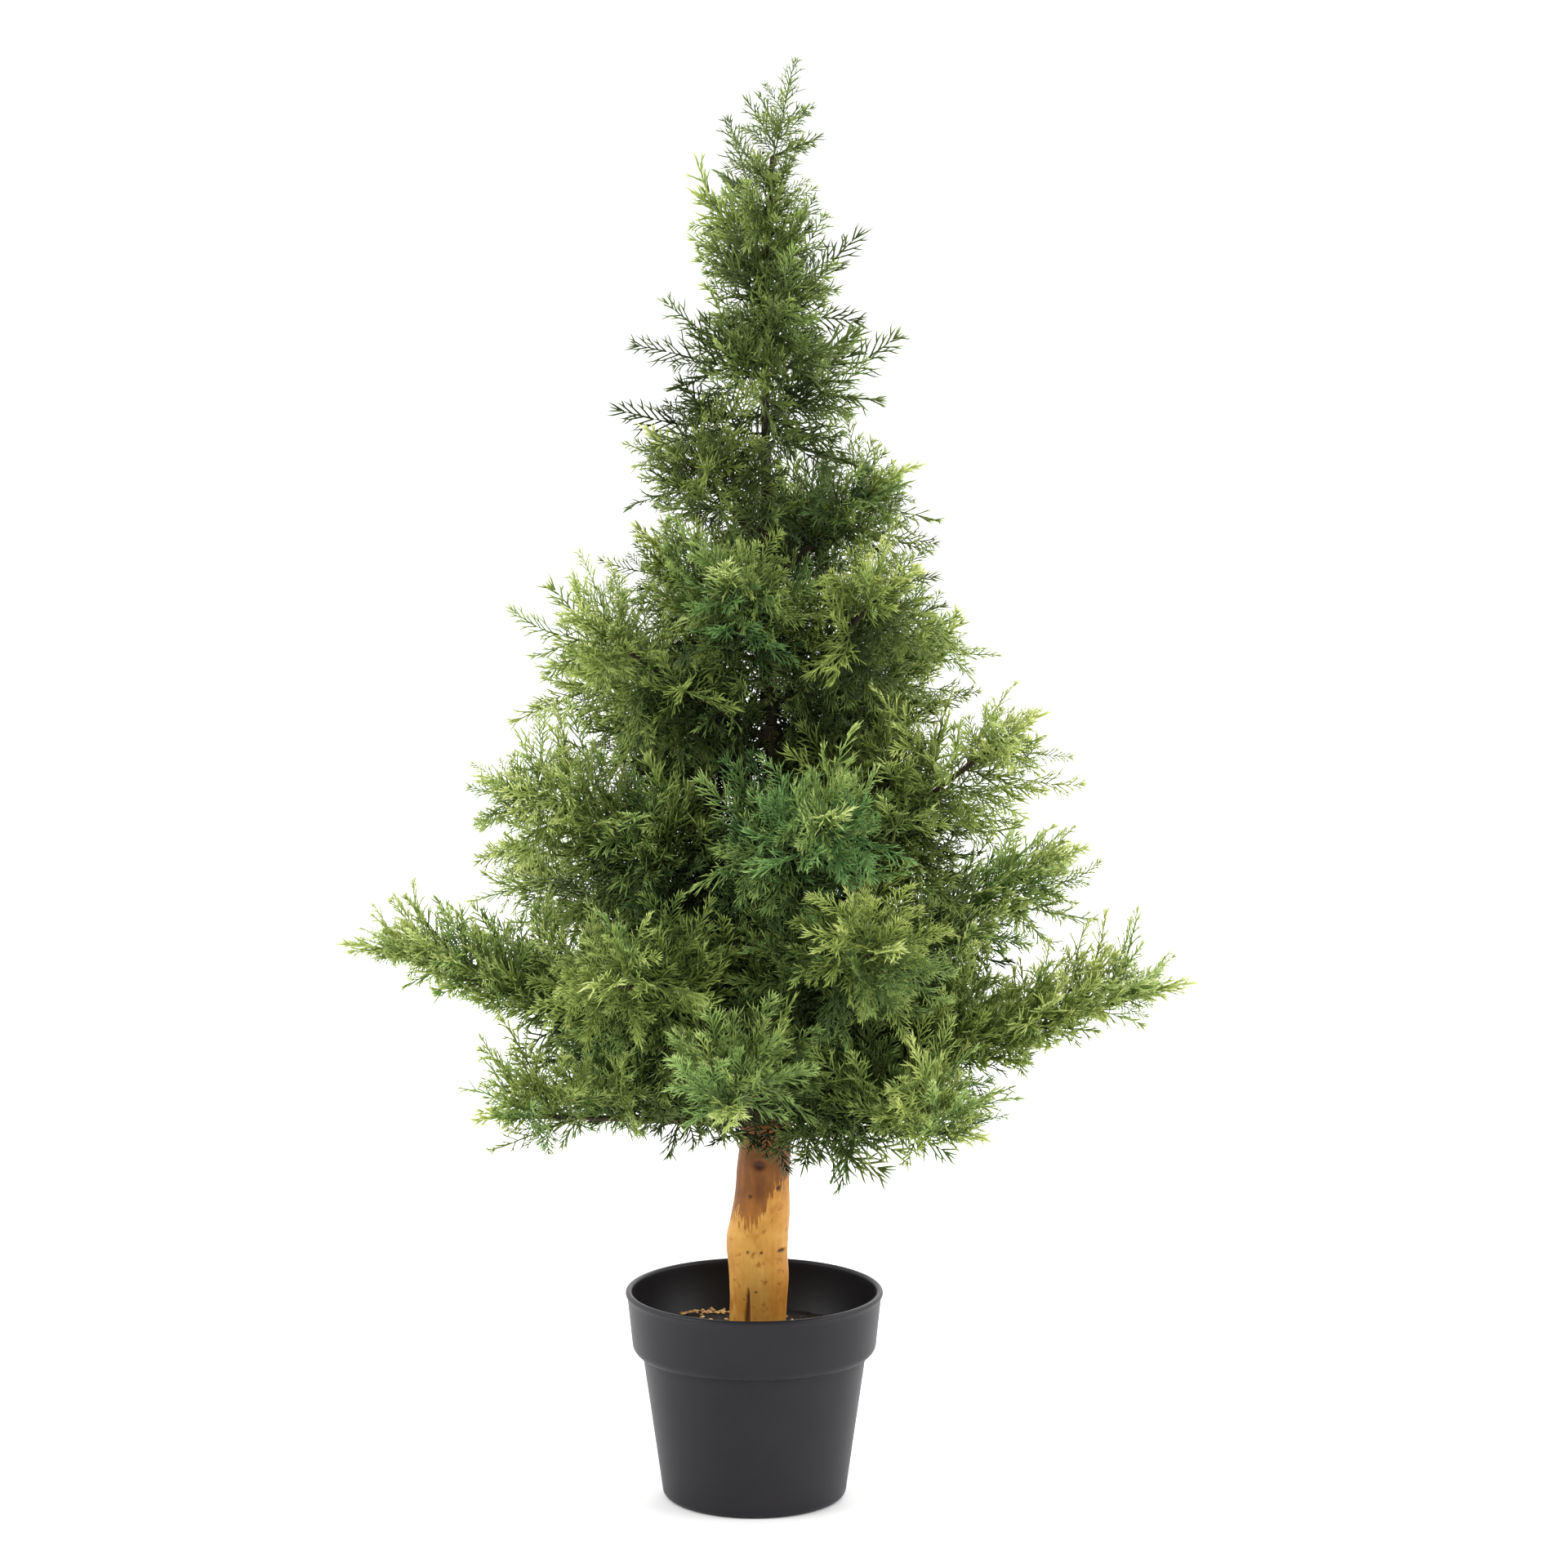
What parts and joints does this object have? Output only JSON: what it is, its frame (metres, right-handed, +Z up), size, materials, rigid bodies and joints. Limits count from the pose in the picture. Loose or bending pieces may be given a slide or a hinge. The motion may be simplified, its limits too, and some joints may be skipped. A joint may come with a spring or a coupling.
{
  "type": "artificial tabletop tree",
  "caption": "Small potted evergreen: feathery cedar-type sprays on bendable wire branches around a peeled wooden trunk, cast into a tapered dark nursery pot.",
  "frame": {"origin": "centre of the pot's flat underside, on the pot's axis", "axes": "+Z up, -Y towards the front, +X to the right seen from the front"},
  "size_m": [0.5427, 0.431, 0.896],
  "materials": {
    "pot_plastic": "matte charcoal black, fine moulded grain",
    "cement": "rough cast cement",
    "filler_dark": "rough dark granular filler",
    "trunk_wood": "peeled wood with a brown-stained top half, satin",
    "nail_steel": "plain wire nail",
    "wire_wrap": "dark brown paper-wrapped wire, matte",
    "spray_plastic": "soft moulded plastic foliage, mixed greens, slightly translucent tips"
  },
  "bodies": {
    "trunk_and_pot": {"pot": "pot_plastic", "cement_ballast": "cement", "filler": "filler_dark", "trunk": "trunk_wood", "anchor_nails": "nail_steel", "branch_pins": "wire_wrap", "leader_stem": "wire_wrap", "leader_ties": "wire_wrap"},
    "crown": {"crown_wire": "wire_wrap", "crown_sprays": "spray_plastic"},
    "branch_01": {"branch_01_wire": "wire_wrap", "branch_01_sprays": "spray_plastic"},
    "branch_02": {"branch_02_wire": "wire_wrap", "branch_02_sprays": "spray_plastic"},
    "branch_03": {"branch_03_wire": "wire_wrap", "branch_03_sprays": "spray_plastic"},
    "branch_04": {"branch_04_wire": "wire_wrap", "branch_04_sprays": "spray_plastic"},
    "branch_05": {"branch_05_wire": "wire_wrap", "branch_05_sprays": "spray_plastic"},
    "branch_06": {"branch_06_wire": "wire_wrap", "branch_06_sprays": "spray_plastic"},
    "branch_07": {"branch_07_wire": "wire_wrap", "branch_07_sprays": "spray_plastic"},
    "branch_08": {"branch_08_wire": "wire_wrap", "branch_08_sprays": "spray_plastic"},
    "branch_09": {"branch_09_wire": "wire_wrap", "branch_09_sprays": "spray_plastic"},
    "branch_10": {"branch_10_wire": "wire_wrap", "branch_10_sprays": "spray_plastic"},
    "branch_11": {"branch_11_wire": "wire_wrap", "branch_11_sprays": "spray_plastic"},
    "branch_12": {"branch_12_wire": "wire_wrap", "branch_12_sprays": "spray_plastic"},
    "branch_13": {"branch_13_wire": "wire_wrap", "branch_13_sprays": "spray_plastic"},
    "branch_14": {"branch_14_wire": "wire_wrap", "branch_14_sprays": "spray_plastic"},
    "branch_15": {"branch_15_wire": "wire_wrap", "branch_15_sprays": "spray_plastic"},
    "branch_16": {"branch_16_wire": "wire_wrap", "branch_16_sprays": "spray_plastic"},
    "branch_17": {"branch_17_wire": "wire_wrap", "branch_17_sprays": "spray_plastic"},
    "branch_18": {"branch_18_wire": "wire_wrap", "branch_18_sprays": "spray_plastic"},
    "branch_19": {"branch_19_wire": "wire_wrap", "branch_19_sprays": "spray_plastic"},
    "branch_20": {"branch_20_wire": "wire_wrap", "branch_20_sprays": "spray_plastic"},
    "branch_21": {"branch_21_wire": "wire_wrap", "branch_21_sprays": "spray_plastic"},
    "branch_22": {"branch_22_wire": "wire_wrap", "branch_22_sprays": "spray_plastic"},
    "branch_23": {"branch_23_wire": "wire_wrap", "branch_23_sprays": "spray_plastic"},
    "branch_24": {"branch_24_wire": "wire_wrap", "branch_24_sprays": "spray_plastic"},
    "branch_25": {"branch_25_wire": "wire_wrap", "branch_25_sprays": "spray_plastic"}
  },
  "joints": [
    {"name": "crown_bend", "type": "hinge", "parent": "trunk_and_pot", "child": "crown", "pos_m": [0.00711, 0, 0.664], "axis": [0, 1, 0], "range_deg": [-15, 15]},
    {"name": "branch_01_bend", "type": "hinge", "parent": "trunk_and_pot", "child": "branch_01", "pos_m": [-0.01392, -0.00138, 0.254], "axis": [-0.0698, 0.9976, 0], "range_deg": [-12, 15]},
    {"name": "branch_02_bend", "type": "hinge", "parent": "trunk_and_pot", "child": "branch_02", "pos_m": [0.02556, -0.00208, 0.252], "axis": [-0.1045, -0.9945, 0], "range_deg": [-12, 15]},
    {"name": "branch_03_bend", "type": "hinge", "parent": "trunk_and_pot", "child": "branch_03", "pos_m": [-0.01124, -0.01121, 0.24], "axis": [-0.5592, 0.829, 0], "range_deg": [-12, 15]},
    {"name": "branch_04_bend", "type": "hinge", "parent": "trunk_and_pot", "child": "branch_04", "pos_m": [0.01843, -0.01518, 0.236], "axis": [-0.7547, -0.6561, 0], "range_deg": [-12, 12]},
    {"name": "branch_05_bend", "type": "hinge", "parent": "trunk_and_pot", "child": "branch_05", "pos_m": [0.00343, -0.01988, 0.244], "axis": [-0.9945, 0.1045, 0], "range_deg": [-12, 15]},
    {"name": "branch_06_bend", "type": "hinge", "parent": "trunk_and_pot", "child": "branch_06", "pos_m": [-0.00715, 0.01527, 0.248], "axis": [0.766, 0.6428, 0], "range_deg": [-12, 15]},
    {"name": "branch_07_bend", "type": "hinge", "parent": "trunk_and_pot", "child": "branch_07", "pos_m": [0.01359, 0.01829, 0.242], "axis": [0.9135, -0.4067, 0], "range_deg": [-12, 15]},
    {"name": "branch_08_bend", "type": "hinge", "parent": "trunk_and_pot", "child": "branch_08", "pos_m": [0.02465, 0.00814, 0.314], "axis": [0.4384, -0.8988, 0], "range_deg": [-15, 20]},
    {"name": "branch_09_bend", "type": "hinge", "parent": "trunk_and_pot", "child": "branch_09", "pos_m": [-0.00911, 0.00757, 0.312], "axis": [0.4067, 0.9135, 0], "range_deg": [-15, 15]},
    {"name": "branch_10_bend", "type": "hinge", "parent": "trunk_and_pot", "child": "branch_10", "pos_m": [-0.00225, -0.0159, 0.306], "axis": [-0.848, 0.5299, 0], "range_deg": [-15, 20]},
    {"name": "branch_11_bend", "type": "hinge", "parent": "trunk_and_pot", "child": "branch_11", "pos_m": [0.01631, -0.01653, 0.322], "axis": [-0.8988, -0.4384, 0], "range_deg": [-15, 20]},
    {"name": "branch_12_bend", "type": "hinge", "parent": "trunk_and_pot", "child": "branch_12", "pos_m": [0.00477, 0.01874, 0.298], "axis": [0.9903, 0.1392, 0], "range_deg": [-15, 20]},
    {"name": "branch_13_bend", "type": "hinge", "parent": "trunk_and_pot", "child": "branch_13", "pos_m": [-0.00687, -0.0042, 0.372], "axis": [-0.2419, 0.9703, 0], "range_deg": [-15, 20]},
    {"name": "branch_14_bend", "type": "hinge", "parent": "trunk_and_pot", "child": "branch_14", "pos_m": [0.02637, -0.00639, 0.388], "axis": [-0.3746, -0.9272, 0], "range_deg": [-15, 15]},
    {"name": "branch_15_bend", "type": "hinge", "parent": "trunk_and_pot", "child": "branch_15", "pos_m": [0.01516, -0.01646, 0.385], "axis": [-0.9613, -0.2756, 0], "range_deg": [-15, 15]},
    {"name": "branch_16_bend", "type": "hinge", "parent": "trunk_and_pot", "child": "branch_16", "pos_m": [0.01898, 0.01485, 0.384], "axis": [0.866, -0.5, 0], "range_deg": [-15, 20]},
    {"name": "branch_17_bend", "type": "hinge", "parent": "trunk_and_pot", "child": "branch_17", "pos_m": [0.00331, 0.00617, 0.44], "axis": [0.5878, 0.809, 0], "range_deg": [-15, 20]},
    {"name": "branch_18_bend", "type": "hinge", "parent": "trunk_and_pot", "child": "branch_18", "pos_m": [0.02091, 0.0046, 0.456], "axis": [0.4384, -0.8988, 0], "range_deg": [-15, 20]},
    {"name": "branch_19_bend", "type": "hinge", "parent": "trunk_and_pot", "child": "branch_19", "pos_m": [0.00129, -0.00427, 0.484], "axis": [-0.4067, 0.9135, 0], "range_deg": [-15, 12]},
    {"name": "branch_20_bend", "type": "hinge", "parent": "trunk_and_pot", "child": "branch_20", "pos_m": [0.01847, -0.00675, 0.506], "axis": [-0.6428, -0.766, 0], "range_deg": [-15, 15]},
    {"name": "branch_21_bend", "type": "hinge", "parent": "trunk_and_pot", "child": "branch_21", "pos_m": [0.00717, -0.01009, 0.523], "axis": [-0.9613, 0.2756, 0], "range_deg": [-15, 20]},
    {"name": "branch_22_bend", "type": "hinge", "parent": "trunk_and_pot", "child": "branch_22", "pos_m": [-0.00052, 0.00218, 0.538], "axis": [0.2079, 0.9781, 0], "range_deg": [-15, 20]},
    {"name": "branch_23_bend", "type": "hinge", "parent": "trunk_and_pot", "child": "branch_23", "pos_m": [0.01056, 0.01044, 0.552], "axis": [0.9945, -0.1045, 0], "range_deg": [-15, 20]},
    {"name": "branch_24_bend", "type": "hinge", "parent": "trunk_and_pot", "child": "branch_24", "pos_m": [0.01919, -0.00146, 0.584], "axis": [-0.1392, -0.9903, 0], "range_deg": [-15, 20]},
    {"name": "branch_25_bend", "type": "hinge", "parent": "trunk_and_pot", "child": "branch_25", "pos_m": [-0.00115, -0.0046, 0.608], "axis": [-0.4384, 0.8988, 0], "range_deg": [-15, 20]}
  ]
}
